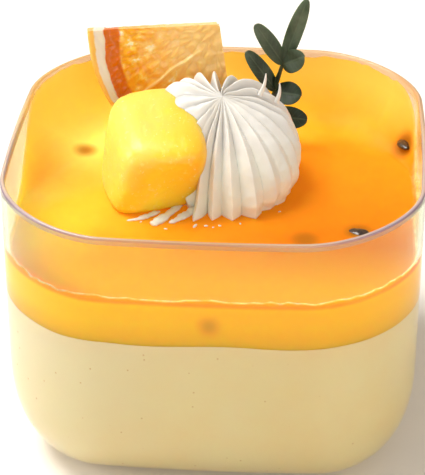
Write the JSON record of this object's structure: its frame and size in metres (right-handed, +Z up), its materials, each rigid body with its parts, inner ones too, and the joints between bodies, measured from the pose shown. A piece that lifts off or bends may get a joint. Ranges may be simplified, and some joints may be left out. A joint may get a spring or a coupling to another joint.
{
  "type": "passion fruit mousse",
  "caption": "Clear rounded-square dessert cup of pale mousse under a passion fruit jelly layer, topped with piped cream, a mango cube, an orange slice piece and a leaf sprig.",
  "frame": {"origin": "centre of the cup's flat foot, on the surface it stands on", "axes": "+Z up; -Y is the front, with the mango on its left and the cream right of it; the orange piece and the sprig stand behind"},
  "size_m": [0.08, 0.08, 0.0762],
  "materials": {
    "cup": "clear, glossy moulded plastic",
    "mousse": "smooth, pale, slightly soft food surface",
    "jelly": "wet, translucent, amber yellow",
    "cream": "soft, white, satin",
    "mango": "moist, bright yellow",
    "orange": "wet, orange flesh with a pale pith and an orange rind",
    "leaf": "dark green, satin"
  },
  "bodies": {
    "root": {"cup": "cup", "mousse": "mousse", "jelly": "jelly", "cream": "cream", "mango": "mango", "orange_slice": "orange", "leaf_sprig": "leaf"}
  },
  "joints": []
}
